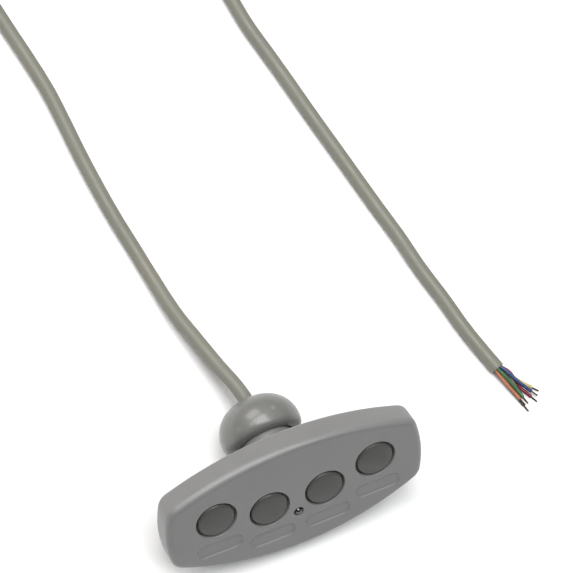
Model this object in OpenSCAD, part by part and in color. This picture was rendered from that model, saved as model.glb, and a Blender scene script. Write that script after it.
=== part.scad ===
// Pendant control station: a flat lens-shaped handset with four push buttons and an
// indicator lamp, a round knob on a leaning neck behind it, and a flexible cable whose
// far end is stripped to six coloured cores.
//
// Casing coordinates: the front face is z = 0 and looks along +z, x runs along the
// casing, y points to the edge on the knob's side. seated() lays the finished handset
// on z = 0, where it rests on its lower rear edge and on the knob.

/* [Casing] */
// Length of the casing
body_l = 101.5; // [100:0.5:103]
// Crown of the casing above the inner buttons' centre line
body_top = 26; // [25.5:0.5:27]
// Lowest point of the casing below the inner buttons' centre line
body_bottom = 24.6; // [24:0.2:26]
// Thickness of the casing
body_t = 10.5; // [10.4:0.1:11]
// Thickness of the front wall
face_wall = 1.6; // [1.5:0.1:1.7]
// Thickness of the casing's rim around the rear cover
rim_wall = 1.8; // [1.7:0.1:2]
// Radius of the arc along the top edge
top_arc_r = 122; // [118:1:126]
// Radius of the arc along the bottom edge
bottom_arc_r = 102; // [98:1:106]
// Radius of the bowed ends
end_arc_r = 52; // [50:1:60]
// Radius of the four rounded corners
corner_r = 6; // [5.5:0.5:7]
// Rounding of the front edge
front_edge_r = 2.4; // [2:0.1:3.2]
// Rounding of the rear edge
rear_edge_r = 1.5; // [0.8:0.1:1.6]
// Thickness of the rear cover
cover_t = 1.6; // [1.5:0.1:1.7]

/* [Buttons] */
// Radius of a button's cap
cap_r = 7.2; // [7:0.1:7.4]
// Radius of the hole that a cap moves in
cap_hole_r = 7.95; // [7.75:0.05:8]
// Distance of the inner buttons from the middle
inner_x = 11; // [10.8:0.1:12]
// Distance of the outer buttons from the middle
outer_x = 31.5; // [31:0.5:32]
// Height of the outer buttons above the inner ones
outer_y = 4.7; // [4.5:0.1:5]
// How far a button moves when it is pressed
cap_travel = 0.8; // [0.6:0.1:0.8]
// Height of a resting cap's crown above the front face
cap_rise = 0.4; // [0:0.05:0.5]

/* [Labels and lamp] */
// Length of a label recess
label_l = 18.5; // [17.5:0.5:18.5]
// Height of a label recess
label_h = 6.4; // [6:0.1:6.6]
// Depth of a label recess
label_depth = 0.6; // [0.4:0.1:0.7]
// Distance of a label recess below its button
label_drop = 13.8; // [13.6:0.1:14]
// Distance of the lamp below the inner buttons' centre line
lamp_y = 6.6; // [6.2:0.1:6.8]

/* [Neck and knob] */
// Height of the neck's axis on the rear face
neck_y = -0.6; // [-1:0.1:0]
// Lean of the neck towards the top edge, in degrees
neck_tilt = 24; // [22:1:26]
// Radius of the neck
neck_r = 10.2; // [10:0.1:10.3]
// Distance from the rear face to the widest part of the knob, along the neck
knob_s = 22; // [21.5:0.1:22.5]
// Radius of the circle that the knob's rear bulge is swept around
knob_ring_r = 4; // [3.8:0.1:4.2]
// Radius of the knob's rear bulge
knob_bulge_r = 11.5; // [11.3:0.1:11.6]
// Distance from the widest part of the knob to its flat front
knob_depth = 4.8; // [4.4:0.1:5]
// Rounding of the knob's front edge
knob_lip_r = 3; // [2:0.1:3]

/* [Cable] */
// Diameter of the cable's jacket
cable_d = 5.5; // [5:0.25:5.5]
// Diameter of a core's insulation
core_d = 1.3; // [1:0.1:1.3]
// Diameter of a bare core tip
tip_d = 0.6; // [0.5:0.05:0.7]

/* [Hidden] */
$fn = 48;

// ---- layers behind the front face ----

ledge_z = -body_t + 2;                 // shoulder that the cover's seal lies on
cover_z = -body_t + cover_t;           // inner face of the rear cover
pcb_t = 1;
pcb_z = cover_z + 0.6;                 // rear face of the circuit board
board_z = pcb_z + pcb_t;               // front face of the circuit board
cavity_inset = 3;                      // from the outline to the main cavity
seal_gap = 0.15;                       // between the rear cover's edge and the rim

// ---- buttons and switches ----

BUTTONS = [[-outer_x, outer_y], [-inner_x, 0], [inner_x, 0], [outer_x, outer_y]];
flange_r = 8.6;
flange_t = 0.75;
flange_z = -face_wall - 0.1;           // front of a resting cap's flange
hub_r = 2.4;
hub_z = flange_z - flange_t - 0.65;    // rear end of a resting cap's hub
dish_r = 60;                           // radius of the shallow crown on a cap
switch_w = 6;
switch_z = board_z + 2.6;              // front of a switch's housing
plunger_r = 1.6;
plunger_l = 2.2;
bore_gap = 0.05;                       // running clearance of a plunger

// ---- lamp ----

lamp_r = 1.5;
lamp_hole_r = 1.95;
lamp_dome_z = -1;                      // middle of the lamp's round end
lamp_base_z = -4.8;
lead_hole_y = 2.5;                     // the hole in the board that the cores come through
lead_hole_r = 5;

// ---- screws ----

POSTS = [[43.5, 3], [21, 17.5], [22, -14.6]];
post_r = 2.4;
boss_r = 3.2;
boss_z = cover_z + 1.2;                // where a cover boss meets a post
head_z = -body_t + 1.2;                // seat of a case screw's head
BOARD_SCREWS = [[37, 11], [37, -8.5]];

// ---- neck and knob, along the neck's axis from the rear face ----

knob_front = knob_s - knob_depth;      // the knob's flat front
neck_end = knob_front + 0.2;           // end of the full neck
step_end = neck_end + 1;               // end of the small step on it
step_r = 9.6;
recess_r = neck_r + 0.7;               // the knob's recess for the neck's end
knob_floor = step_end + 0.4;           // bottom of that recess
spigot_r = 6.5;                        // the knob is pushed onto this
spigot_end = knob_s + 6;
chamber_r = 7;                         // room for the cable tie inside the neck
chamber_end = 15;
nut_s = knob_s + 2.5;                  // front of the nut behind the knob
nut_r = 8;                             // the knob's recess for the nut
cap_s = spigot_end;                    // front of the knob's rear cap
cap_end = knob_s + 9.6;
grommet_r = 3.6;
collar_r = 4.8;                        // the grommet's collar, outside the rear cap
mouth_s = knob_s + 12.4;               // where the cable leaves the grommet
jacket_s = 6;                          // inner end of the cable's jacket
tube_s = mouth_s - 1.6;                // where the free cable starts in the grommet

// where each core sits around the cable's axis, in the plug's order
LEAD_ANGLES = [210, 150, 90, 270, 30, 330];
lead_ring = 1.5;                       // from the cable's axis to a core's

// ---- the free cable, as it lies on the surface ----

COIL_AT = [10, 258];                   // middle of the coil
coil_mid_r = 6 * cable_d;              // middle of its turns
coil_across = 4 * cable_d;             // four turns beside each other
coil_high = 2 * cable_d;               // in two layers
strap_w = 6;
strap_t = 0.8;

// from the grommet to the coil, after two points on the neck's axis
LEAD_ROUTE = [
    [-0.8, 33, 12.3], [-3.8, 44, 10.2], [-7, 57, 7.7], [-10, 70, 5.3], [-12.2, 85, 3.5],
    [-14.2, 99, 2.8], [-16.4, 113, 2.8], [-18, 127, 2.8], [-19.2, 141, 2.8],
    [-20, 155, 2.8], [-21, 168, 2.8], [-23.2, 182, 2.8], [-25.8, 196, 2.8],
    [-28.2, 210, 2.8], [-30.2, 225, 2.8], [-31.2, 240, 2.8], [-31.2, 258, 2.8]
];

// from the coil to the stripped end
TAIL_ROUTE = [
    [51.2, 258, 8.2], [51.4, 246, 8], [52.2, 235, 6.2], [53.8, 223, 3.8], [56, 210, 2.8],
    [58.2, 195, 2.8], [60, 181, 2.8], [61.8, 167, 2.8], [64.4, 155, 2.8], [67.4, 141, 2.8],
    [70.2, 127, 2.8], [73.2, 113, 2.8], [76.4, 98, 2.8], [79.6, 83, 2.8], [83, 68, 2.8],
    [85.6, 54, 2.8], [89, 40, 2.8], [92, 26, 2.8], [94.8, 16, 2.8], [97.6, 7, 2.8]
];

// each core from the jacket's end to the end of its insulation
ORANGE = [[96.4, 6.8, 2.8], [97.6, 2.8, 2.6], [99, -1.2, 2.3], [100.2, -4.4, 2.1], [101, -6.8, 2.1]];
BROWN = [[97.1, 6.9, 1.4], [98.1, 3, 1], [99.4, -1.2, 0.7], [100.8, -5.6, 0.7], [101.8, -9.2, 0.7]];
GREEN = [[97.1, 6.9, 4.1], [98.6, 4, 3.6], [100, 0.8, 2.6], [101.5, -2.6, 1.6], [102.8, -6.4, 1]];
BLUE = [[98.4, 7.2, 4.1], [100.4, 3.8, 4], [102.4, 0.2, 3.5], [104.3, -2.6, 2.7], [106.5, -5.5, 1.9]];
RED = [[99, 7.4, 2.8], [101.4, 4.4, 2.4], [102.4, 1, 2], [103.2, -2.4, 1.2], [105.9, -7.2, 0.7]];
YELLOW = [[98.4, 7.2, 1.4], [100.6, 4.6, 0.8], [102.6, 2.1, 0.7], [105, -1.1, 0.7], [107.7, -4.1, 0.7]];
tip_l = 3;                             // length of a bare tip

// ---- how the handset lies ----

// the lean at which the casing's rear edge and the knob both touch the surface
edge_c = [rear_edge_r - body_bottom, rear_edge_r - body_t];
knob_c = [neck_y + knob_s * sin(neck_tilt), -body_t - knob_s * cos(neck_tilt)];
knob_low = knob_c - knob_ring_r * [cos(neck_tilt), sin(neck_tilt)];
span = knob_low - edge_c;
rest_tilt = 90 - atan2(span.y, span.x) - acos((knob_bulge_r - rear_edge_r) / norm(span));
seat_z = rear_edge_r - edge_c.x * sin(rest_tilt) - edge_c.y * cos(rest_tilt);
low_y = (front_edge_r - body_bottom) * cos(rest_tilt) + front_edge_r * (sin(rest_tilt) - 1);
high_y = knob_c.x * cos(rest_tilt) - knob_c.y * sin(rest_tilt)
    + knob_ring_r * cos(neck_tilt + rest_tilt) + knob_bulge_r;
seat_y = -(low_y + high_y) / 2;

// ---- placing ----

// casing coordinates to the resting handset's
function rested(p) = [p.x,
    seat_y + p.y * cos(rest_tilt) - p.z * sin(rest_tilt),
    seat_z + p.y * sin(rest_tilt) + p.z * cos(rest_tilt)];

// a point s along the neck's axis, in casing coordinates
function on_axis(s) = [0, neck_y + s * sin(neck_tilt), -body_t - s * cos(neck_tilt)];

module seated() {
    translate([0, seat_y, seat_z]) rotate([rest_tilt, 0, 0]) children();
}

// +z runs out along the neck, from the rear face
module on_neck() {
    seated() neck_frame() children();
}

module neck_frame() {
    translate([0, neck_y, -body_t]) rotate([180 + neck_tilt, 0, 0]) children();
}

// both sides of each place in a list
module both_sides(places) {
    for (s = [-1, 1], p = places) translate([s * p.x, p.y]) children();
}

// ---- casing outline ----

// the middles of the arcs along the top, the bottom and the right-hand end
top_c = [0, body_top - top_arc_r];
bottom_c = [0, bottom_arc_r - body_bottom];
end_c = [body_l / 2 - end_arc_r, 1];

// where two circles cross, on the left (side = 1) or right (-1) of the line between them
function crossing(c1, r1, c2, r2, side) =
    let (d = norm(c2 - c1),
         u = (c2 - c1) / d,
         along = (d * d + r1 * r1 - r2 * r2) / (2 * d),
         off = sqrt(r1 * r1 - along * along))
    c1 + along * u + side * off * [-u.y, u.x];

// middles of the right-hand corner rounds, each tangent to its two arcs
upper_c = crossing(top_c, top_arc_r - corner_r, end_c, end_arc_r - corner_r, -1);
lower_c = crossing(bottom_c, bottom_arc_r - corner_r, end_c, end_arc_r - corner_r, 1);

function bearing(v) = atan2(v.y, v.x);
function arc(c, r, a0, a1, steps) =
    [for (i = [0:steps]) c + r * [for (f = [cos(a0 + (a1 - a0) * i / steps),
                                            sin(a0 + (a1 - a0) * i / steps)]) f]];

// the outline's right half, moved in by inset, from the bottom's middle to the top's
function right_half(inset) = concat(
    arc(bottom_c, bottom_arc_r - inset, -90, bearing(lower_c - bottom_c) - 0.5, 9),
    arc(lower_c, corner_r - inset, bearing(lower_c - bottom_c), bearing(lower_c - end_c), 6),
    arc(end_c, end_arc_r - inset, bearing(lower_c - end_c) + 1, bearing(upper_c - end_c) - 1, 4),
    arc(upper_c, corner_r - inset, bearing(upper_c - end_c), bearing(upper_c - top_c), 6),
    arc(top_c, top_arc_r - inset, bearing(upper_c - top_c) + 0.5, 90, 9));

function outline(inset) =
    let (half = right_half(inset), last = len(half) - 1)
    concat(half, [for (i = [last - 1:-1:1]) [-half[i].x, half[i].y]]);

// a flat slab of the outline from z = low to z = high
module slab(low, high, inset) {
    translate([0, 0, low]) linear_extrude(high - low) polygon(outline(inset));
}

// the casing's outer form, its edges rounded: one ring of points per level
module rounded_form() {
    turns = [for (a = [0:22.5:90]) a];
    rings = concat(
        [for (a = turns) [-body_t + rear_edge_r * (1 - cos(a)), rear_edge_r * (1 - sin(a))]],
        [for (a = turns) [-front_edge_r * (1 - sin(a)), front_edge_r * (1 - cos(a))]]);
    n = len(outline(0));
    last = len(rings) - 1;
    points = [for (level = rings, p = outline(level[1])) [p.x, p.y, level[0]]];
    sides = [for (k = [0:last - 1], i = [0:n - 1])
        [k * n + i, (k + 1) * n + i, (k + 1) * n + (i + 1) % n, k * n + (i + 1) % n]];
    polyhedron(points, concat(sides, [[for (i = [0:n - 1]) i],
                                      [for (i = [n - 1:-1:0]) last * n + i]]));
}

// ---- casing ----

module label_recess() {
    reach = (label_l - label_h) / 2;
    translate([0, 0, -label_depth]) {
        linear_extrude(label_depth + 1) union() {
            translate([-reach, -label_h / 2]) square([2 * reach, label_h]);
            for (s = [-1, 1]) translate([s * reach, 0]) circle(d = label_h);
        }
    }
}

module front_shell() {
    color([0.56, 0.56, 0.55]) seated() {
        difference() {
            rounded_form();
            slab(ledge_z - 1, -face_wall, cavity_inset);
            slab(-body_t - 1, ledge_z, rim_wall);
            for (b = BUTTONS) {
                translate([b.x, b.y, -face_wall - 1]) cylinder(r = cap_hole_r, h = face_wall + 2);
                translate([b.x, b.y - label_drop]) label_recess();
            }
            translate([0, -lamp_y, -face_wall - 1]) cylinder(r = lamp_hole_r, h = face_wall + 2);
        }
        both_sides(POSTS) difference() {
            translate([0, 0, boss_z]) cylinder(r = post_r, h = -boss_z - 1);
            translate([0, 0, boss_z - 1]) cylinder(r = 1, h = 5.5);
        }
    }
}

module rear_cover() {
    color([0.56, 0.56, 0.55]) seated() difference() {
        union() {
            slab(-body_t, cover_z, rim_wall + seal_gap);
            both_sides(POSTS) translate([0, 0, -body_t + 0.5])
                cylinder(r = boss_r, h = boss_z + body_t - 0.5);
            both_sides(BOARD_SCREWS) translate([0, 0, -body_t + 0.5])
                cylinder(r = post_r, h = pcb_z + body_t - 0.5);
            difference() {
                neck_frame() {
                    translate([0, 0, -cover_t / 2])
                        cylinder(r = neck_r, h = neck_end + cover_t / 2);
                    cylinder(r = step_r, h = step_end);
                    cylinder(r = spigot_r, h = spigot_end);
                }
                translate([-15, -15, cover_z]) cube([30, 30, 10]);
            }
        }
        both_sides(POSTS) {
            translate([0, 0, -body_t - 1]) cylinder(r = 2.1, h = head_z + body_t + 1);
            translate([0, 0, -body_t - 1]) cylinder(r = 1.2, h = body_t);
        }
        both_sides(BOARD_SCREWS) translate([0, 0, pcb_z - 1.6]) cylinder(r = 0.8, h = 3);
        neck_frame() {
            translate([0, 0, -5]) cylinder(r = chamber_r, h = chamber_end + 5);
            cylinder(r = 3.1, h = spigot_end + 1);
        }
    }
}

module case_seal() {
    color([0.12, 0.12, 0.12]) seated() difference() {
        slab(cover_z, ledge_z, rim_wall + 0.25);
        slab(cover_z - 1, ledge_z + 1, cavity_inset);
    }
}

// a pan-head screw, its seat at z = 0, its shank towards +z
module screw(head_r, head_h, shank_r, shank_l) {
    difference() {
        union() {
            translate([0, 0, -head_h]) cylinder(r = head_r, h = head_h);
            cylinder(r = shank_r, h = shank_l);
        }
        for (a = [0, 90]) rotate(a) translate([-head_r * 0.6, -0.2, -head_h - 1])
            cube([head_r * 1.2, 0.4, 1 + head_h * 0.6]);
    }
}

module case_screws() {
    color("silver") seated() both_sides(POSTS) translate([0, 0, head_z]) screw(1.9, 1, 1, 5.2);
}

// ---- buttons and switches ----

module button(b) {
    color([0.36, 0.36, 0.35]) seated() translate([b.x, b.y]) {
        intersection() {
            translate([0, 0, flange_z - 0.2]) cylinder(r = cap_r, h = 3);
            translate([0, 0, -dish_r]) rotate_extrude($fn = 180) intersection() {
                circle(dish_r + cap_rise);
                square(dish_r + 1);
            }
        }
        translate([0, 0, flange_z - flange_t]) cylinder(r = flange_r, h = flange_t);
        translate([0, 0, hub_z]) cylinder(r = hub_r, h = flange_z - hub_z);
    }
}

module plunger(b) {
    color("black") seated() translate([b.x, b.y, hub_z - plunger_l])
        cylinder(r = plunger_r, h = plunger_l);
}

module switch_housing(b) {
    color([0.2, 0.2, 0.2]) seated() difference() {
        translate([b.x - switch_w / 2, b.y - switch_w / 2, board_z])
            cube([switch_w, switch_w, switch_z - board_z]);
        translate([b.x, b.y, board_z + 0.4]) cylinder(r = plunger_r + bore_gap, h = 5);
    }
}

// ---- circuit board ----

module circuit_board() {
    color([0.1, 0.35, 0.2]) seated() difference() {
        translate([-40, -11, pcb_z]) cube([80, 25, pcb_t]);
        translate([0, lead_hole_y, pcb_z - 1]) cylinder(r = lead_hole_r, h = pcb_t + 2);
        both_sides(BOARD_SCREWS) translate([0, 0, pcb_z - 1]) cylinder(r = 0.9, h = pcb_t + 2);
    }
}

module board_screws() {
    color("silver") seated() both_sides(BOARD_SCREWS) translate([0, 0, board_z])
        mirror([0, 0, 1]) screw(1.5, 0.9, 0.8, 2.4);
}

module lamp() {
    color([0.85, 0.9, 0.92]) seated() translate([0, -lamp_y]) {
        translate([0, 0, lamp_base_z]) cylinder(r = lamp_r + 0.4, h = 1);
        translate([0, 0, lamp_base_z]) cylinder(r = lamp_r, h = lamp_dome_z - lamp_base_z);
        translate([0, 0, lamp_dome_z]) sphere(lamp_r);
    }
}

module lamp_spacer() {
    color("white") seated() translate([0, -lamp_y, board_z])
        cylinder(r = lamp_r + 0.6, h = lamp_base_z - board_z);
}

module resistors() {
    color("black") seated() for (x = [-24, -18, 18, 24])
        translate([x - 1, -9, board_z]) cube([2, 1.25, 0.5]);
}

module header() {
    color([0.9, 0.88, 0.8]) seated() difference() {
        translate([-7.5, 10.2, board_z]) cube([15, 3.6, 3]);
        translate([-6.5, 9, board_z + 0.5]) cube([13, 3.2, 2]);
    }
}

module header_pins() {
    color("gold") seated() for (i = [0:5]) translate([2 * i - 5.2, 10.6, board_z + 1.2])
        cube([0.4, 3, 0.4]);
}

module lead_plug() {
    color([0.9, 0.88, 0.8]) seated() difference() {
        translate([-6.4, 7.4, board_z + 0.6]) cube([12.8, 4.6, 1.8]);
        for (i = [0:5]) translate([2 * i - 5.2, 10.5, board_z + 1.2]) cube([0.4, 3, 0.4]);
    }
}

// ---- tubes swept along a route ----

function unit(v) = v / norm(v);
function heading(route, i) = unit(route[min(i + 1, len(route) - 1)] - route[max(i - 1, 0)]);

// a round tube through every point of a route, one ring of points at each
module swept(route, r, sides = 8) {
    last = len(route) - 1;
    points = [for (i = [0:last])
        let (t = heading(route, i), u = unit(cross(t, abs(t.x) < 0.9 ? [1, 0, 0] : [0, 1, 0])),
             v = cross(t, u))
        for (k = [0:sides - 1])
            route[i] + r * (cos(360 * k / sides) * u + sin(360 * k / sides) * v)];
    skin = [for (i = [0:last - 1], k = [0:sides - 1])
        [i * sides + k, i * sides + (k + 1) % sides,
         (i + 1) * sides + (k + 1) % sides, (i + 1) * sides + k]];
    polyhedron(points, concat(skin, [[for (k = [sides - 1:-1:0]) k],
                                     [for (k = [0:sides - 1]) last * sides + k]]));
}

module inner_leads() {
    start = on_axis(jacket_s);
    color([0.9, 0.5, 0.2]) for (i = [0:5]) {
        x = 2 * i - 5;
        ring = lead_ring * [cos(LEAD_ANGLES[i]), sin(LEAD_ANGLES[i])];
        swept([for (p = [start + [ring.x, ring.y * cos(neck_tilt), ring.y * sin(neck_tilt)],
                         [ring.x, ring.y + 1.9, -11.5],
                         [ring.x * 1.3, ring.y + 3.2, -8.7 - ring.y * 0.4],
                         [x * 0.8, 5.4 + ring.y * 0.5, -6.3 - ring.y * 0.2],
                         [x, 7.6, board_z + 1.5]]) rested(p)], core_d / 2);
    }
}

// ---- neck, knob and cable entry ----

// half of the knob's section: the big bulge, its rounded lip and the flat front
module knob_profile() {
    lip_y = knob_lip_r - knob_depth;
    lip_x = knob_ring_r + sqrt(pow(knob_bulge_r - knob_lip_r, 2) - lip_y * lip_y);
    meet_y = lip_y * knob_bulge_r / (knob_bulge_r - knob_lip_r);
    intersection() {
        translate([knob_ring_r, 0]) circle(knob_bulge_r);
        translate([0, meet_y]) square(20);
    }
    translate([lip_x, lip_y]) circle(knob_lip_r);
    translate([0, -knob_depth]) square([lip_x, knob_depth]);
}

module knob() {
    color([0.5, 0.5, 0.48]) on_neck() difference() {
        translate([0, 0, knob_s]) rotate_extrude($fn = 96) knob_profile();
        cylinder(r = recess_r, h = knob_floor);
        cylinder(r = spigot_r, h = 40);
        translate([0, 0, nut_s]) cylinder(r = nut_r, h = 20);
    }
}

module knob_gasket() {
    color("black") on_neck() translate([0, 0, step_end]) difference() {
        cylinder(r = step_r, h = knob_floor - step_end);
        translate([0, 0, -1]) cylinder(r = spigot_r, h = 3);
    }
}

module knob_nut() {
    color("silver") on_neck() translate([0, 0, nut_s]) difference() {
        cylinder(r = nut_r - 0.1, h = spigot_end - nut_s - 0.2, $fn = 6);
        translate([0, 0, -1]) cylinder(r = spigot_r, h = 8);
    }
}

module knob_cap() {
    color([0.5, 0.5, 0.48]) on_neck() difference() {
        translate([0, 0, cap_s]) cylinder(r = nut_r - 0.05, h = cap_end - cap_s);
        translate([0, 0, cap_s - 1]) cylinder(r = grommet_r, h = 9);
    }
}

module grommet() {
    color([0.15, 0.15, 0.15]) on_neck() difference() {
        union() {
            translate([0, 0, cap_s]) cylinder(r = grommet_r, h = mouth_s - cap_s - 1);
            translate([0, 0, cap_end]) cylinder(r = collar_r, h = 0.8);
            translate([0, 0, cap_end + 0.4])
                cylinder(r1 = collar_r - 0.4, r2 = cable_d / 2 + 0.6, h = mouth_s - cap_end - 0.4);
        }
        translate([0, 0, cap_s - 1]) cylinder(r = cable_d / 2, h = 12);
    }
}

module cable_tie() {
    color([0.9, 0.9, 0.88]) on_neck() translate([0, 0, chamber_end - 3]) difference() {
        union() {
            cylinder(r = 4, h = 2.5);
            translate([2, -1.8, 0]) cube([4, 3.6, 2.5]);
        }
        translate([0, 0, -1]) cylinder(r = cable_d / 2, h = 5);
    }
}

module inner_cable() {
    color([0.58, 0.57, 0.53]) on_neck() translate([0, 0, jacket_s])
        cylinder(d = cable_d, h = tube_s - jacket_s);
}

// ---- the free cable ----

module cable_lead() {
    color([0.58, 0.57, 0.53]) swept(concat([rested(on_axis(tube_s)), rested(on_axis(mouth_s))],
                                           LEAD_ROUTE), cable_d / 2, 12);
}

module cable_coil() {
    color([0.58, 0.57, 0.53]) translate(COIL_AT) rotate_extrude($fn = 64)
        translate([coil_mid_r - coil_across / 2, 0]) square([coil_across, coil_high]);
}

module coil_tie() {
    color("black") translate([COIL_AT.x - strap_w / 2, COIL_AT.y + coil_mid_r, 0]) difference() {
        translate([0, -coil_across / 2 - strap_t, 0])
            cube([strap_w, coil_across + 2 * strap_t, coil_high + strap_t]);
        translate([-1, -coil_across / 2, strap_t])
            cube([strap_w + 2, coil_across, coil_high - strap_t]);
    }
}

module cable_tail() {
    color([0.58, 0.57, 0.53]) swept(TAIL_ROUTE, cable_d / 2, 12);
}

module core(route) {
    swept(route, core_d / 2);
}

// a straight rod that carries on from the end of a route
module tip(route) {
    last = route[len(route) - 1];
    way = last - route[len(route) - 2];
    translate(last) rotate([0, acos(way.z / norm(way)), bearing([way.x, way.y])])
        translate([0, 0, -0.3]) cylinder(d = tip_d, h = tip_l + 0.3, $fn = 24);
}

module core_tips() {
    color([0.25, 0.22, 0.2]) for (route = [ORANGE, BROWN, GREEN, BLUE, RED, YELLOW]) tip(route);
}

// ---- parts ----

front_shell();
rear_cover();
case_seal();
case_screws();
button(BUTTONS[0]);  // button_1
button(BUTTONS[1]);  // button_2
button(BUTTONS[2]);  // button_3
button(BUTTONS[3]);  // button_4
plunger(BUTTONS[0]);  // plunger_1
plunger(BUTTONS[1]);  // plunger_2
plunger(BUTTONS[2]);  // plunger_3
plunger(BUTTONS[3]);  // plunger_4
switch_housing(BUTTONS[0]);  // switch_1
switch_housing(BUTTONS[1]);  // switch_2
switch_housing(BUTTONS[2]);  // switch_3
switch_housing(BUTTONS[3]);  // switch_4
circuit_board();
board_screws();
lamp();
lamp_spacer();
resistors();
header();
header_pins();
lead_plug();
inner_leads();
knob();
knob_gasket();
knob_nut();
knob_cap();
grommet();
cable_tie();
inner_cable();
cable_lead();
cable_coil();
coil_tie();
cable_tail();
color([0.75, 0.42, 0.3]) core(ORANGE);  // core_orange
color([0.35, 0.28, 0.25]) core(BROWN);  // core_brown
color([0.3, 0.5, 0.3]) core(GREEN);  // core_green
color([0.2, 0.3, 0.5]) core(BLUE);  // core_blue
color([0.5, 0.1, 0.2]) core(RED);  // core_red
color([0.75, 0.72, 0.4]) core(YELLOW);  // core_yellow
core_tips();
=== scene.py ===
import math
import random

import bmesh
import bpy
from mathutils import Matrix, Vector
from mathutils.geometry import delaunay_2d_cdt


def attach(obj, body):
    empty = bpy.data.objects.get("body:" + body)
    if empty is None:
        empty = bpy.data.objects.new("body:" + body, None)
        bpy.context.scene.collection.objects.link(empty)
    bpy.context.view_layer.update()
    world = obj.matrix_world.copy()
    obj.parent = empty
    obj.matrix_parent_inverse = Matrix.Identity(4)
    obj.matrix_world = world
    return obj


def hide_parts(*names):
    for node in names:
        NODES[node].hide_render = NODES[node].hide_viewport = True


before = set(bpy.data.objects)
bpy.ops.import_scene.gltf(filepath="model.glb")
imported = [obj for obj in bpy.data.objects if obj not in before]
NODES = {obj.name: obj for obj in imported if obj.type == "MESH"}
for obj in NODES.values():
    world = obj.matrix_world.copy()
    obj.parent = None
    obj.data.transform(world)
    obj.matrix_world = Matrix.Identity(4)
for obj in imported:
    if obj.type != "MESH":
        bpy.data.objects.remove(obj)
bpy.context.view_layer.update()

MM = 0.001

# ---------------------------------------------------------------- sizes, in mm

BODY_L, BODY_TOP, BODY_BOTTOM, BODY_T = 101.5, 26.0, 24.6, 10.5
TOP_R, BOTTOM_R, END_R, CORNER_R = 122.0, 102.0, 52.0, 6.0
FRONT_R, REAR_R = 2.4, 1.5
RIM, FACE_WALL, CAVITY = 1.8, 1.6, 3.0
LEDGE_Z, COVER_Z = -8.5, -8.9
CAP_R, CAP_HOLE_R, FLANGE_R, CAP_RISE = 7.2, 7.95, 8.6, 0.38
BUTTONS = [(-31.5, 4.7), (-11.0, 0.0), (11.0, 0.0), (31.5, 4.7)]
LABEL_L, LABEL_H, LABEL_DEPTH, LABEL_DROP = 18.5, 6.4, 0.6, 13.8
LAMP_Y, LAMP_R, LAMP_HOLE_R = -6.6, 1.5, 1.95
NECK_Y, TILT, NECK_R = -0.6, 24.0, 10.2
KNOB_S, RING_R, BULGE_R, KNOB_DEPTH, LIP_R = 22.0, 4.0, 11.5, 4.8, 3.0
KNOB_FRONT = KNOB_S - KNOB_DEPTH
POSTS = [(43.5, 3.0), (21.0, 17.5), (22.0, -14.6)]
REST_TILT, SEAT_Y, SEAT_Z = 55.9094, -14.6821, 25.6748
CABLE_D, CORE_D = 5.5, 1.3
TIP_L, WIRE_R, WIRE_RING_R, WIRE_TWIST = 3.0, 0.1, 0.2, 3.2
STRAP_W, STRAP_T, STRAP_ACROSS, STRAP_HIGH = 6.0, 0.8, 22.0, 11.0
NECK_FILLET, NECK_EDGE = 0.9, 0.25
SPIGOT_R, CABLE_BORE_R = 9.6, 6.5
KNOB_MOUTH_R = 8.3
FLOOR_R, FLOOR_GAP = 3500, 0.05

# casing coordinates in mm to the row's in metres, and the neck's to the casing's
SEATED = (Matrix.Scale(MM, 4) @ Matrix.Translation((0, SEAT_Y, SEAT_Z))
          @ Matrix.Rotation(math.radians(REST_TILT), 4, "X"))
ON_NECK = (SEATED @ Matrix.Translation((0, NECK_Y, -BODY_T))
           @ Matrix.Rotation(math.radians(180 + TILT), 4, "X"))
ON_TABLE = Matrix.Scale(MM, 4)

# ---------------------------------------------------------------- camera

# solved from the buttons' circles and the casing's outline, for an image of 573 by 573
CAMERA_AT = (-0.255976, -0.154262, 1.022855)
CAMERA_BACK = (-0.268109, -0.202462, 0.941874)
CAMERA_RIGHT = (0.904003, -0.390818, 0.173320)
CAMERA_LENS = 180.94

camera_data = bpy.data.cameras.new("camera")
camera_data.sensor_width = 36
camera_data.lens = CAMERA_LENS
camera_data.clip_start = 0.05
camera_data.clip_end = 20
camera = bpy.data.objects.new("camera", camera_data)
bpy.context.scene.collection.objects.link(camera)
back = Vector(CAMERA_BACK).normalized()
right = Vector(CAMERA_RIGHT)
right = (right - right.dot(back) * back).normalized()
up = back.cross(right)
camera.matrix_world = (Matrix.Translation(CAMERA_AT)
                       @ Matrix((right, up, back)).transposed().to_4x4())
bpy.context.scene.camera = camera

# ---------------------------------------------------------------- materials


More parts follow.
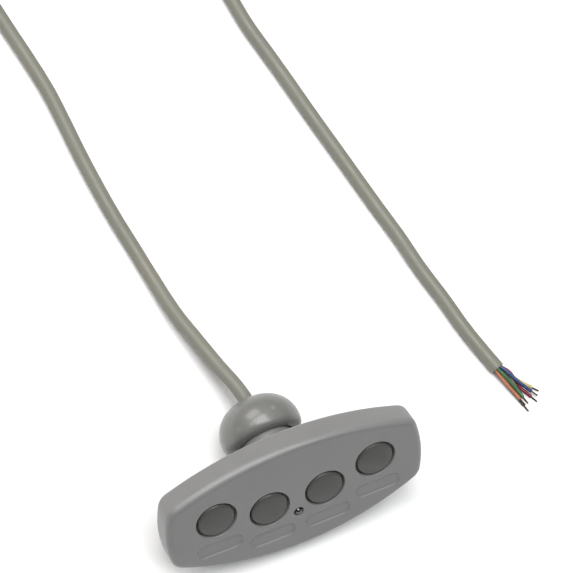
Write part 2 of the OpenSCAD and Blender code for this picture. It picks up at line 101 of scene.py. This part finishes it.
class Look:
    """Builds one material's nodes around a Principled shader."""

    def __init__(self, name, colour, rough, **sockets):
        self.material = bpy.data.materials.new(name)
        self.material.use_nodes = True
        self.material.diffuse_color = (*colour, 1)
        self.nodes = self.material.node_tree.nodes
        self.links = self.material.node_tree.links
        self.shader = self.nodes["Principled BSDF"]
        self.shader.inputs["Base Color"].default_value = (*colour, 1)
        self.shader.inputs["Roughness"].default_value = rough
        for key, value in sockets.items():
            self.shader.inputs[key.replace("_", " ")].default_value = value
        self.colour = colour
        self.rough = rough
        self.place = self.nodes.new("ShaderNodeTexCoord").outputs["Object"]
        self.height = None
        self.shade = None

    def node(self, kind, **values):
        made = self.nodes.new(kind)
        for key, value in values.items():
            if key in made.inputs:
                made.inputs[key].default_value = value
            else:
                setattr(made, key, value)
        return made

    def noise(self, scale, detail=3.0, stretch=None):
        """A noise value. Scale is in cells to a metre, stretch its share along each axis."""
        place = self.place
        if stretch:
            mapping = self.node("ShaderNodeMapping")
            mapping.inputs["Scale"].default_value = stretch
            self.links.new(place, mapping.inputs["Vector"])
            place = mapping.outputs["Vector"]
        made = self.node("ShaderNodeTexNoise", Scale=scale, Detail=detail)
        self.links.new(place, made.inputs["Vector"])
        return made.outputs["Fac"]

    def spread(self, value, low, high, low_in=0.3, high_in=0.7):
        """Maps low_in..high_in, the middle of a noise, to low..high."""
        made = self.node("ShaderNodeMapRange")
        for key, number in (("From Min", low_in), ("From Max", high_in),
                            ("To Min", low), ("To Max", high)):
            made.inputs[key].default_value = number
        self.links.new(value, made.inputs["Value"])
        return made.outputs["Result"]

    def tint(self, value, colour, amount):
        """Mixes colour in where value is high."""
        mix = self.node("ShaderNodeMix", data_type="RGBA")
        factor = self.spread(value, 0.0, amount)
        self.links.new(factor, mix.inputs["Factor"])
        if self.shade is None:
            mix.inputs[6].default_value = (*self.colour, 1)
        else:
            self.links.new(self.shade, mix.inputs[6])
        mix.inputs[7].default_value = (*colour, 1)
        self.shade = mix.outputs[2]
        self.links.new(self.shade, self.shader.inputs["Base Color"])
        return self

    def roughen(self, value, by):
        """Lets the roughness vary with value, up to by each way."""
        self.links.new(self.spread(value, self.rough - by, self.rough + by),
                       self.shader.inputs["Roughness"])
        return self

    def bump(self, value, depth_mm, strength=1.0):
        """Adds a bump on top of those already there."""
        made = self.node("ShaderNodeBump", Strength=strength, Distance=depth_mm * MM)
        self.links.new(value, made.inputs["Height"])
        if self.height is not None:
            self.links.new(self.height, made.inputs["Normal"])
        self.height = made.outputs["Normal"]
        self.links.new(self.height, self.shader.inputs["Normal"])
        return self

    def edges(self, colour, amount):
        """Wear or dirt where the surface is sharply convex."""
        pointed = self.node("ShaderNodeNewGeometry").outputs["Pointiness"]
        return self.tint(self.spread(pointed, 0, 1, 0.52, 0.62), colour, amount)


def darker(colour, factor):
    return tuple(c * factor for c in colour)


def moulded(name, colour, rough, grain=0.02, gloss=0.0, mottle=0.10, scale=2600):
    """Injection-moulded plastic: fine spark grain, faint flow clouds and rubbed edges."""
    look = Look(name, colour, rough, IOR=1.5, Coat_Weight=gloss, Coat_Roughness=0.12)
    fine, cloud, smear = look.noise(scale, 4), look.noise(45, 2), look.noise(160, 5, (1, 0.3, 1))
    look.tint(cloud, darker(colour, 1 - mottle), 0.8).tint(fine, darker(colour, 1.06), 0.5)
    look.edges(darker(colour, 1.25), 0.35)
    look.roughen(smear, 0.06)
    return look.bump(fine, grain).bump(look.noise(300, 2), 0.03, 0.4).material


def insulation(name, colour):
    """Smooth PVC on a core, with slight streaks along it and scuffs."""
    look = Look(name, colour, 0.3, IOR=1.53, Coat_Weight=0.3)
    look.tint(look.noise(700, 3), darker(colour, 0.72), 0.6)
    look.tint(look.noise(2400, 2), darker(colour, 1.2), 0.3)
    look.roughen(look.noise(1500, 3), 0.1)
    return look.bump(look.noise(1800, 3), 0.02, 0.7).material


def metal(name, colour, rough, brushed=900):
    """Worn metal with fine marks across it."""
    look = Look(name, colour, rough, Metallic=1.0)
    look.tint(look.noise(brushed, 4), darker(colour, 0.6), 0.7)
    look.roughen(look.noise(brushed * 2, 4), 0.1)
    return look.bump(look.noise(brushed * 3, 3, (1, 6, 1)), 0.01, 0.6).material


CASE = moulded("case_grey", (0.199, 0.198, 0.196), 0.34)
KEY = moulded("button_grey", (0.063, 0.064, 0.0575), 0.42, mottle=0.16)
KNOB = moulded("knob_grey", (0.155, 0.155, 0.147), 0.4, grain=0.006, gloss=0.35, mottle=0.06)
# Painted light: a lighter grey than the casing's, to brighten the neck, which the light from
# behind falls on.
COVER = moulded("cover_grey", (0.235, 0.234, 0.23), 0.42)
RUBBER = moulded("rubber_black", (0.02, 0.02, 0.02), 0.7, grain=0.03, mottle=0.3)
BLACK = moulded("black_plastic", (0.03, 0.03, 0.03), 0.5, mottle=0.25)
NYLON = moulded("white_nylon", (0.72, 0.7, 0.62), 0.45, mottle=0.08)
BOARD = moulded("board_laminate", (0.02, 0.12, 0.05), 0.35, grain=0.01, gloss=0.5, mottle=0.4)
STEEL = metal("screw_steel", (0.55, 0.55, 0.53), 0.3)
BRASS = metal("pin_brass", (0.6, 0.42, 0.12), 0.28)
COPPER = metal("tip_copper", (0.10, 0.085, 0.07), 0.45)


def jacket():
    """Satin PVC: faint draw lines along it, finger marks and a little dust."""
    colour = (0.2, 0.194, 0.155)
    look = Look("cable_jacket", colour, 0.48, IOR=1.5)
    look.tint(look.noise(60, 3), darker(colour, 0.86), 0.7)
    look.tint(look.noise(900, 4), darker(colour, 1.1), 0.4)
    look.tint(look.noise(25, 2), (0.178, 0.18, 0.157), 0.6)
    look.roughen(look.noise(220, 4), 0.08)
    return look.bump(look.noise(1300, 4), 0.03, 0.6).bump(look.noise(120, 2), 0.12, 0.3).material


JACKET = jacket()
CORES = {
    "orange": insulation("insulation_orange", (0.38, 0.11, 0.04)),
    "brown": insulation("insulation_brown", (0.075, 0.045, 0.032)),
    "green": insulation("insulation_green", (0.04, 0.14, 0.04)),
    "blue": insulation("insulation_blue", (0.014, 0.043, 0.155)),
    "red": insulation("insulation_red", (0.18, 0.005, 0.026)),
    "yellow": insulation("insulation_yellow", (0.47, 0.385, 0.105)),
}

# ---------------------------------------------------------------- cable and cores

COIL_X, COIL_Y, COIL_MID = 10.0, 258.0, 33.0
COIL_TURNS, STEPS = 7.5, 20  # STEPS points to a turn
SHIFT = 0.25  # share of a turn, at its end, in which the cable moves to the next one
SWING = 8  # how far inwards it swings, at most a quarter of this, as it climbs a layer
LEAD_ROUTE = [
    (-0.8, 33, 12.3), (-3.8, 44, 10.2), (-7, 57, 7.7), (-10, 70, 5.3), (-12.2, 85, 3.5),
    (-14.2, 99, 2.8), (-16.4, 113, 2.8), (-18, 127, 2.8), (-19.2, 141, 2.8),
    (-20, 155, 2.8), (-21, 168, 2.8), (-23.2, 182, 2.8), (-25.8, 196, 2.8),
    (-28.2, 210, 2.8), (-30.2, 225, 2.8), (-31.2, 240, 2.8)]
TAIL_ROUTE = [
    (51.4, 246, 8), (52.2, 235, 6.2), (53.8, 223, 3.8), (56, 210, 2.8),
    (58.2, 195, 2.8), (60, 181, 2.8), (61.8, 167, 2.8), (64.4, 155, 2.8), (67.4, 141, 2.8),
    (70.2, 127, 2.8), (73.2, 113, 2.8), (76.4, 98, 2.8), (79.6, 83, 2.8), (83, 68, 2.8),
    (85.6, 54, 2.8), (89, 40, 2.8), (92, 26, 2.8), (94.8, 16, 2.8), (97.6, 7, 2.8)]
CORE_ROUTES = {
    "orange": [(96.4, 6.8, 2.8), (97.6, 2.8, 2.6), (99, -1.2, 2.3), (100.2, -4.4, 2.1),
               (101, -6.8, 2.1)],
    "brown": [(97.1, 6.9, 1.4), (98.1, 3, 1), (99.4, -1.2, 0.7), (100.8, -5.6, 0.7),
              (101.8, -9.2, 0.7)],
    "green": [(97.1, 6.9, 4.1), (98.6, 4, 3.6), (100, 0.8, 2.6), (101.5, -2.6, 1.6),
              (102.8, -6.4, 1)],
    "blue": [(98.4, 7.2, 4.1), (100.4, 3.8, 4), (102.4, 0.2, 3.5), (104.3, -2.6, 2.7),
             (106.5, -5.5, 1.9)],
    "red": [(99, 7.4, 2.8), (101.4, 4.4, 2.4), (102.4, 1, 2), (103.2, -2.4, 1.2),
            (105.9, -7.2, 0.7)],
    "yellow": [(98.4, 7.2, 1.4), (100.6, 4.6, 0.8), (102.6, 2.1, 0.7), (105, -1.1, 0.7),
               (107.7, -4.1, 0.7)],
}
# each turn of the coil: its radius and height where it starts, on the coil's left
TURNS = [(41.25, 2.8), (35.75, 2.8), (30.25, 2.8), (24.75, 2.8),
         (24.75, 8.3), (30.25, 8.3), (35.75, 8.3), (41.25, 8.3), (41.25, 8.3)]


def smooth(t):
    """0 to 1 with a gentle start and end."""
    t = min(max(t, 0.0), 1.0)
    return t * t * (3 - 2 * t)


def coil_points():
    """The turns, clockwise from the coil's left side."""
    points = []
    for i in range(int(COIL_TURNS * STEPS) + 1):
        turn, part = divmod(i / STEPS, 1)
        (r0, z0), (r1, z1) = TURNS[int(turn)], TURNS[int(turn) + 1]
        t = smooth((part - (1 - SHIFT)) / SHIFT)
        r = r0 + (r1 - r0) * t - (SWING * t * (1 - t) if z1 > z0 else 0)
        z = z0 + (z1 - z0) * t
        angle = math.pi - 2 * math.pi * i / STEPS
        points.append((COIL_X + r * math.cos(angle), COIL_Y + r * math.sin(angle), z))
    return points


def curve_piece(name, points, radius, material, resolution=6):
    """A round tube along points, all in mm."""
    data = bpy.data.curves.new(name, "CURVE")
    data.dimensions = "3D"
    data.bevel_depth = radius * MM
    data.bevel_resolution = 8
    data.resolution_u = resolution
    data.use_fill_caps = True
    spline = data.splines.new("BEZIER")
    spline.bezier_points.add(len(points) - 1)
    for point, place in zip(spline.bezier_points, points):
        point.co = Vector(place) * MM
        point.handle_left_type = point.handle_right_type = "AUTO"
    data.materials.append(material)
    made = bpy.data.objects.new(name, data)
    bpy.context.scene.collection.objects.link(made)
    return made


def neck_point(s):
    """The point s mm along the neck's axis, in the row's mm."""
    return tuple(ON_NECK @ Vector((0, 0, s)) / MM)


INSIDE_RELIEF, CABLE_EXIT = 32.8, 34.4  # along the neck's axis
cable_route = ([neck_point(INSIDE_RELIEF), neck_point(CABLE_EXIT)]
               + LEAD_ROUTE + coil_points() + TAIL_ROUTE)
cable = curve_piece("cable", cable_route, CABLE_D / 2, JACKET)
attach(cable, "handset")
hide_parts("cable_lead", "cable_coil", "cable_tail")

for colour, route in CORE_ROUTES.items():
    core = curve_piece("core_" + colour + "_insulation", route, CORE_D / 2, CORES[colour], 8)
    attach(core, "handset")
    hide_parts("core_" + colour)

# ---------------------------------------------------------------- mesh helpers


class Shape:
    """One mesh under construction, in mm, in its own coordinates."""

    def __init__(self):
        self.bm = bmesh.new()

    def ring(self, points):
        return [self.bm.verts.new(p) for p in points]

    def join(self, a, b):
        """A band of quads from one closed ring to the next."""
        n = len(a)
        for i in range(n):
            self.bm.faces.new((a[i], a[(i + 1) % n], b[(i + 1) % n], b[i]))

    def band(self, rings):
        for a, b in zip(rings, rings[1:]):
            self.join(a, b)
        return rings

    def cap(self, ring):
        """Closes a ring with a fan round its middle."""
        middle = self.bm.verts.new(sum((v.co for v in ring), Vector()) / len(ring))
        n = len(ring)
        for i in range(n):
            self.bm.faces.new((ring[i], ring[(i + 1) % n], middle))

    def plane(self, outer, holes):
        """Fills between an outer ring and the rings of holes, all in one plane z."""
        verts = list(outer)
        edges = [(i, (i + 1) % len(outer)) for i in range(len(outer))]
        for hole in holes:
            first = len(verts)
            edges += [(first + i, first + (i + 1) % len(hole)) for i in range(len(hole))]
            verts += hole
        places = [v.co.xy for v in verts]
        _, _, faces, found, _, _ = delaunay_2d_cdt(places, edges, [], 0, 1e-5)
        source = [ids[0] for ids in found]
        shapes = [[v.co.xy for v in hole] for hole in holes]
        for face in faces:
            corners = [verts[source[i]] for i in face]
            middle = sum((c.co.xy for c in corners), Vector((0, 0))) / 3
            if not any(inside(middle, shape) for shape in shapes):
                self.bm.faces.new(corners)

    def lathe(self, profile, segments=96, place=(0, 0)):
        """Turns (radius, z) pairs round z. A radius of 0 closes the end."""
        rings = []
        for r, z in profile:
            if r == 0:
                rings.append(None)
                continue
            rings.append(self.ring([(place[0] + r * math.cos(2 * math.pi * k / segments),
                                     place[1] + r * math.sin(2 * math.pi * k / segments), z)
                                    for k in range(segments)]))
        for i, ring in enumerate(rings):
            if ring is None:
                self.cap(rings[i + 1] if i == 0 else rings[i - 1])
        whole = [r for r in rings if r]
        self.band(whole)

    def piece(self, name, where, material, body="handset", stands_for=(),
              flat_above=35):
        bmesh.ops.remove_doubles(self.bm, verts=self.bm.verts, dist=1e-5)
        bmesh.ops.recalc_face_normals(self.bm, faces=self.bm.faces)
        mesh = bpy.data.meshes.new(name)
        self.bm.transform(where)
        for face in self.bm.faces:
            face.smooth = True
        for edge in self.bm.edges:
            if len(edge.link_faces) == 2 and edge.calc_face_angle(0) > math.radians(flat_above):
                edge.smooth = False
        self.bm.to_mesh(mesh)
        self.bm.free()
        mesh.materials.append(material)
        made = bpy.data.objects.new(name, mesh)
        bpy.context.scene.collection.objects.link(made)
        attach(made, body)
        if stands_for:
            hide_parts(*stands_for)
        return made


def inside(point, shape):
    """Whether a 2-D point lies in a polygon."""
    x, y = point
    hit = False
    for (x0, y0), (x1, y1) in zip(shape, shape[1:] + shape[:1]):
        if (y0 > y) != (y1 > y) and x < (x1 - x0) * (y - y0) / (y1 - y0) + x0:
            hit = not hit
    return hit


def circle(x, y, r, z, n=96):
    return [(x + r * math.cos(2 * math.pi * k / n), y + r * math.sin(2 * math.pi * k / n), z)
            for k in range(n)]


def quarter(r, steps=6):
    """(in, down) pairs of a convex quarter round, from the flat to the wall."""
    angles = [math.pi / 2 * i / steps for i in range(steps + 1)]
    return [(r * (1 - math.sin(a)), r * (1 - math.cos(a))) for a in angles]


# ---------------------------------------------------------------- outline

TOP_C = Vector((0, BODY_TOP - TOP_R))
BOTTOM_C = Vector((0, BOTTOM_R - BODY_BOTTOM))
END_C = Vector((BODY_L / 2 - END_R, 1))


def crossing(c1, r1, c2, r2, side):
    """Where two circles cross, on one side of the line between their centres."""
    line = c2 - c1
    d = line.length
    u = line / d
    along = (d * d + r1 * r1 - r2 * r2) / (2 * d)
    off = math.sqrt(r1 * r1 - along * along)
    return c1 + along * u + side * off * Vector((-u.y, u.x))


UPPER_C = crossing(TOP_C, TOP_R - CORNER_R, END_C, END_R - CORNER_R, -1)
LOWER_C = crossing(BOTTOM_C, BOTTOM_R - CORNER_R, END_C, END_R - CORNER_R, 1)


def bearing(v):
    return math.atan2(v.y, v.x)


def arc(c, r, a0, a1, steps):
    """Points from bearing a0 to a1 round c."""
    return [(c.x + r * math.cos(a0 + (a1 - a0) * i / steps),
             c.y + r * math.sin(a0 + (a1 - a0) * i / steps)) for i in range(steps + 1)]


def outline(inset, z):
    """The casing's outline, moved inwards by inset."""
    small = math.radians(0.3)  # keeps two arcs' ends from meeting in one point
    low, low_end = bearing(LOWER_C - BOTTOM_C), bearing(LOWER_C - END_C)
    high_end, high = bearing(UPPER_C - END_C), bearing(UPPER_C - TOP_C)
    half = (arc(BOTTOM_C, BOTTOM_R - inset, -math.pi / 2, low - small, 28)
            + arc(LOWER_C, CORNER_R - inset, low, low_end, 12)
            + arc(END_C, END_R - inset, low_end + small, high_end - small, 14)
            + arc(UPPER_C, CORNER_R - inset, high_end, high, 12)
            + arc(TOP_C, TOP_R - inset, high + small, math.pi / 2, 28))
    whole = half + [(-x, y) for x, y in half[-2:0:-1]]
    return [(x, y, z) for x, y in whole]


def stadium(x, y, grow, z, n=20):
    """A label recess's outline, grown outwards by grow."""
    r, reach = LABEL_H / 2 + grow, (LABEL_L - LABEL_H) / 2
    right = [(x + reach + r * math.cos(a), y + r * math.sin(a), z)
             for a in [math.pi * (k / n - 0.5) for k in range(n + 1)]]
    left = [(x - reach - r * math.cos(a), y - r * math.sin(a), z)
            for a in [math.pi * (k / n - 0.5) for k in range(n + 1)]]
    return right + left


# ---------------------------------------------------------------- front shell

shell = Shape()
outer = [shell.ring(outline(FRONT_R + 0.3, 0))]
outer += [shell.ring(outline(i, -d)) for i, d in quarter(FRONT_R, 12)]
outer += [shell.ring(outline(0, z)) for z in (-4.5, -6.5, -8.0)]
outer += [shell.ring(outline(i, -BODY_T + d)) for i, d in reversed(quarter(REAR_R, 6))]
outer += [shell.ring(outline(RIM - 0.1, -BODY_T)), shell.ring(outline(RIM, -BODY_T + 0.1)),
          shell.ring(outline(RIM, LEDGE_Z)), shell.ring(outline(CAVITY, LEDGE_Z)),
          shell.ring(outline(CAVITY, -FACE_WALL))]
shell.band(outer)
front_holes, inner_holes = [], []


def pierced(x, y, r, lip):
    """A hole through the face, its edge rounded by lip."""
    rings = [shell.ring(circle(x, y, r + lip + 0.12, 0))]
    rings += [shell.ring(circle(x, y, r + i, -d)) for i, d in quarter(lip, 5)]
    rings += [shell.ring(circle(x, y, r, -FACE_WALL))]
    shell.band(rings)
    front_holes.append(rings[0])
    inner_holes.append(rings[-1])


for bx, by in BUTTONS:
    pierced(bx, by, CAP_HOLE_R, 0.3)
pierced(0, LAMP_Y, LAMP_HOLE_R, 0.2)
# a label recess's wall: how far outside its outline, and the height
RECESS = [(0.3, 0), (0.15, 0), (0.05, -0.03), (-0.05, -0.09), (-0.25, -0.24), (-0.5, -0.43),
          (-0.65, -0.53), (-0.8, -LABEL_DEPTH), (-1.1, -LABEL_DEPTH)]
for bx, by in BUTTONS:
    rings = [shell.ring(stadium(bx, by - LABEL_DROP, grow, z)) for grow, z in RECESS]
    shell.band(rings)
    front_holes.append(rings[0])
    shell.plane(rings[-1], [])
shell.plane(outer[0], front_holes)
shell.plane(outer[-1], inner_holes)
shell.piece("front_shell_moulding", SEATED, CASE,
            stands_for=["front_shell"])

# ---------------------------------------------------------------- rear cover and neck

cover = Shape()
edge = RIM + 0.15  # a narrow gap round the cover
# a screw pocket: its radius, and how deep
POCKET = [(2.6, 0), (2.35, 0), (2.2, 0.08), (2.1, 0.25), (2.1, 1.2), (1.15, 1.2), (1.15, 0.9)]
rings = [cover.ring(outline(edge + 0.6, -BODY_T))]
rings += [cover.ring(outline(edge + i, -BODY_T + d)) for i, d in quarter(0.35, 4)]
rings += [cover.ring(outline(edge, COVER_Z)), cover.ring(outline(edge + 1, COVER_Z))]
cover.band(rings)
screw_rims = []
for side in (-1, 1):
    for px, py in POSTS:
        sunk = cover.band([cover.ring(circle(side * px, py, r, -BODY_T + d, 48))
                           for r, d in POCKET])
        screw_rims.append(sunk[0])
        cover.cap(sunk[-1])
cover.plane(rings[0], screw_rims)
cover.plane(rings[-1], [])
cover.piece("rear_cover_plate", SEATED, COVER,
            stands_for=["rear_cover"])


def foot(r, rise, n=144):
    """A ring round the neck's axis that runs along the tilted rear face, rise above it."""
    return [(r * math.cos(a), r * math.sin(a),
             rise - r * math.sin(a) * math.tan(math.radians(TILT)))
            for a in [2 * math.pi * k / n for k in range(n)]]


neck = Shape()
rings = [neck.ring(foot(NECK_R - 1.5, -1.2)), neck.ring(foot(NECK_R + NECK_FILLET, -0.5))]
rings += [neck.ring(foot(NECK_R + i, d)) for i, d in quarter(NECK_FILLET, 6)]
rings += [neck.ring(circle(0, 0, NECK_R, s, 144)) for s in (10, 13, KNOB_FRONT - 1.5)]
rings += [neck.ring(circle(0, 0, NECK_R - i, KNOB_FRONT + 0.2 - d, 144))
          for i, d in reversed(quarter(NECK_EDGE, 3))]
rings += [neck.ring(circle(0, 0, r, s, 144))
          for r, s in ((SPIGOT_R, KNOB_FRONT + 0.2), (SPIGOT_R, KNOB_FRONT + 1.2),
                       (CABLE_BORE_R, KNOB_FRONT + 1.2), (CABLE_BORE_R, 28))]
neck.band(rings)
neck.cap(rings[0])
neck.cap(rings[-1])
neck.piece("neck", ON_NECK, COVER, stands_for=["rear_cover"])

# ---------------------------------------------------------------- knob and cable exit


def knob_section():
    """(radius, height) pairs, from the recess in the flat front to the rear opening."""
    lip_y = LIP_R - KNOB_DEPTH
    lip_x = RING_R + math.sqrt((BULGE_R - LIP_R) ** 2 - lip_y ** 2)
    start = math.atan2(lip_y, lip_x - RING_R)
    end = math.acos((KNOB_MOUTH_R - RING_R) / BULGE_R)
    section = [(NECK_R + 0.7, 1.9 - KNOB_DEPTH), (NECK_R + 0.7, 0.15 - KNOB_DEPTH),
               (NECK_R + 0.85, -KNOB_DEPTH)]
    section += [(lip_x + LIP_R * math.cos(a), lip_y + LIP_R * math.sin(a))
                for a in [-math.pi / 2 + (start + math.pi / 2) * k / 10 for k in range(11)]]
    section += [(RING_R + BULGE_R * math.cos(a), BULGE_R * math.sin(a))
                for a in [start + (end - start) * k / 40 for k in range(1, 41)]]
    rear = section[-1][1]
    return section + [(8.08, rear - 0.1), (8.0, rear - 0.3), (8.0, 6.2), (6.6, 6.2),
                      (6.6, 1.9 - KNOB_DEPTH)]


knob = Shape()
section = knob_section()
knob.lathe([(r, z + KNOB_S) for r, z in section + section[:1]], 192)
knob.piece("hanging_knob", ON_NECK, KNOB, stands_for=["knob"])

cap = Shape()
cap.lathe([(0, 28.1), (7.9, 28.1), (7.9, 31.2), (7.75, 31.45), (7.5, 31.6), (6.4, 31.6),
           (6.2, 31.45), (6.0, 31.3), (4.9, 31.3), (4.7, 31.2), (0, 31.2)], 128)
cap.piece("knob_rear_cap", ON_NECK, KNOB, stands_for=["knob_cap"])

relief = Shape()
relief.lathe([(2.8, 29), (3.5, 29), (3.5, 31.1), (4.75, 31.15), (4.8, 31.3), (4.8, 32.2),
              (4.6, 32.4), (4.25, 32.45), (4.1, 32.6), (4.15, 32.8), (4.05, 33.0),
              (3.8, 33.1), (3.7, 33.25), (3.75, 33.5), (3.6, 33.7), (3.4, 33.8),
              (3.35, 34.1), (3.2, 34.35), (2.95, 34.4), (2.8, 34.3), (2.8, 29)], 96)
relief.piece("strain_relief", ON_NECK, RUBBER, stands_for=["grommet"])

# ---------------------------------------------------------------- buttons and lamp

for number, (bx, by) in enumerate(BUTTONS, 1):
    key = Shape()
    crown = [(r, CAP_RISE - (r / 11) ** 2) for r in (1.2, 2.4, 3.6, 4.6, 5.3, 5.8)]
    key.lathe([(0, CAP_RISE)] + crown + [(CAP_R - i, 0.06 - d) for i, d in quarter(1.1, 9)]
              + [(CAP_R, -1.7), (FLANGE_R - 0.1, -1.7), (FLANGE_R, -1.8),
                 (FLANGE_R, -2.35), (FLANGE_R - 0.1, -2.45), (2.4, -2.45), (2.4, -3.0),
                 (2.3, -3.1), (0, -3.1)], 128, (bx, by))
    key.piece(f"button_{number}_cap", SEATED, KEY, f"key_{number}",
              [f"button_{number}"])

# Painted shade: the clear dome is given a near-black colour and a solid body down into the hole,
# standing in for the shade in the lamp hole seen through it.
LENS = Look("lamp_lens", (0.015, 0.016, 0.017), 0.07, IOR=1.9, Coat_Weight=0.5)
LENS.roughen(LENS.noise(900, 2), 0.03).bump(LENS.noise(700, 2), 0.02, 0.4)
dome = [(LAMP_R * math.cos(a), -1 + LAMP_R * math.sin(a))
        for a in [math.pi / 2 * k / 10 for k in range(9, -1, -1)]]
lens = Shape()
lens.lathe([(0, 0.5)] + dome + [(LAMP_R, -3.6), (LAMP_R + 0.4, -3.8), (LAMP_R + 0.4, -4.7),
                                (0, -4.8)], 64, (0, LAMP_Y))
lens.piece("lamp_dome", SEATED, LENS.material, stands_for=["lamp"])

# ---------------------------------------------------------------- on the cable

end_way = (Vector(TAIL_ROUTE[-1]) - Vector(TAIL_ROUTE[-2])).normalized()
AT_END = (ON_TABLE @ Matrix.Translation(TAIL_ROUTE[-1])
          @ end_way.to_track_quat("Z", "Y").to_matrix().to_4x4())
collar = Shape()
collar.lathe([(2.1, -0.9), (2.75, -0.9), (2.75, -0.12), (2.68, -0.02), (2.5, 0.0),
              (2.3, -0.02), (2.12, -0.12), (2.1, -0.9)], 96)
collar.piece("jacket_end", AT_END, JACKET)
filler = Shape()
filler.lathe([(0, -0.55), (0.8, -0.5), (1.6, -0.6), (2.15, -0.8), (2.15, -0.88), (0, -0.88)], 48)
filler.piece("jacket_filler", AT_END, RUBBER)


def strands(colour, seed):
    """A bared tip: seven fine wires laid in a twist, cut a little unevenly."""
    route = CORE_ROUTES[colour]
    way = (Vector(route[-1]) - Vector(route[-2])).normalized()
    at_tip = (ON_TABLE @ Matrix.Translation(route[-1])
              @ way.to_track_quat("Z", "Y").to_matrix().to_4x4())
    draw = random.Random(seed)
    made = Shape()
    for k in range(7):
        ring_r = 0 if k == 0 else WIRE_RING_R
        length = TIP_L - draw.uniform(0, 0.12)
        rings = []
        for j in range(13):
            s = -0.25 + (length + 0.25) * j / 12
            turn = 2 * math.pi * (k / 6 + s / WIRE_TWIST)
            cx, cy = ring_r * math.cos(turn), ring_r * math.sin(turn)
            rings.append(made.ring(circle(cx, cy, WIRE_R, s, 10)))
        made.band(rings)
        made.cap(rings[0])
        made.cap(rings[-1])
    return made.piece("bare_tip_" + colour, at_tip, COPPER,
                      stands_for=["core_tips"])


for seed, colour in enumerate(CORE_ROUTES):
    strands(colour, seed)


def loop(grow, x):
    """The strap's section round the coil's turns, with round corners."""
    half, r = STRAP_ACROSS / 2 + grow, 1.2 + grow
    low, top = STRAP_T - grow, STRAP_HIGH + grow
    corners = [(half - r, top - r, 0), (-half + r, top - r, 90), (-half + r, low + r, 180),
               (half - r, low + r, 270)]
    return [(x, cy + r * math.cos(math.radians(a + t)), cz + r * math.sin(math.radians(a + t)))
            for cy, cz, a in corners for t in (0, 18, 36, 54, 72, 90)]


strap = Shape()
rings = [strap.ring(loop(g, x)) for g, x in
         ((0, -STRAP_W / 2), (STRAP_T - 0.15, -STRAP_W / 2), (STRAP_T, -STRAP_W / 2 + 0.15),
          (STRAP_T, STRAP_W / 2 - 0.15), (STRAP_T - 0.15, STRAP_W / 2), (0, STRAP_W / 2))]
strap.band(rings + rings[:1])
strap.piece(
    "coil_strap", ON_TABLE @ Matrix.Translation((COIL_X, COIL_Y + COIL_MID, 0)), RUBBER,
    stands_for=["coil_tie"])

# ---------------------------------------------------------------- carried-over nodes

DRESS = {
    RUBBER: ["case_seal", "knob_gasket"],
    STEEL: ["case_screws", "board_screws", "knob_nut"],
    BOARD: ["circuit_board"],
    BLACK: ["resistors"] + [f"{kind}_{i}" for kind in ("plunger", "switch") for i in range(1, 5)],
    NYLON: ["lamp_spacer", "header", "lead_plug", "cable_tie"],
    BRASS: ["header_pins"],
    CORES["orange"]: ["inner_leads"],
    JACKET: ["inner_cable"],
}
for material, names in DRESS.items():
    for name in names:
        NODES[name].data.materials.clear()
        NODES[name].data.materials.append(material)

# ---------------------------------------------------------------- floor and light

FLOOR = Look("floor_paper", (0.9, 0.9, 0.9), 0.75)
FLOOR.tint(FLOOR.noise(6, 2), (0.88, 0.88, 0.88), 0.5).bump(FLOOR.noise(900, 3), 0.02, 0.3)
floor_shape = Shape()
floor_shape.plane(floor_shape.ring(circle(0, 0, FLOOR_R, 0, 64)), [])
mesh = bpy.data.meshes.new("floor")
floor_shape.bm.transform(ON_TABLE @ Matrix.Translation((0, 0, -FLOOR_GAP)))
floor_shape.bm.to_mesh(mesh)
mesh.materials.append(FLOOR.material)
floor = bpy.data.objects.new("floor", mesh)
bpy.context.scene.collection.objects.link(floor)

world = bpy.data.worlds.new("studio")
bpy.context.scene.world = world
world.use_nodes = True
world.node_tree.nodes["Background"].inputs["Color"].default_value = (1.0, 1.0, 1.0, 1)
world.node_tree.nodes["Background"].inputs["Strength"].default_value = 0.08


def softbox(name, azimuth, elevation, distance, size, power, colour=(1, 1, 1)):
    """An area light in that direction from the handset, facing it, in degrees and metres."""
    a, e = math.radians(azimuth), math.radians(elevation)
    way = Vector((math.cos(a) * math.cos(e), math.sin(a) * math.cos(e), math.sin(e)))
    data = bpy.data.lights.new(name, "AREA")
    data.shape = "RECTANGLE"
    data.size, data.size_y = size
    data.energy = power
    data.color = colour
    made = bpy.data.objects.new(name, data)
    made.location = Vector((0, 0, 0.02)) + way * distance
    made.rotation_euler = way.to_track_quat("Z", "Y").to_euler()
    bpy.context.scene.collection.objects.link(made)


softbox("left_low", 164, 17, 1.6, (0.2, 0.2), 0.6)
softbox("left_high", 156, 58, 1.6, (0.2, 0.2), 1.2)
softbox("back_right", 43, 31, 1.6, (0.25, 0.25), 1)
softbox("overhead", 100, 82, 1.8, (1.2, 1.2), 31)
softbox("back", 107, 42, 1.8, (1.0, 0.8), 14, (1, 0.98, 0.94))
softbox("front", 303, 65, 1.8, (0.7, 0.7), 8, (0.95, 0.97, 1))

view_settings = bpy.context.scene.view_settings
view_settings.view_transform = "Standard"
view_settings.look = "None"
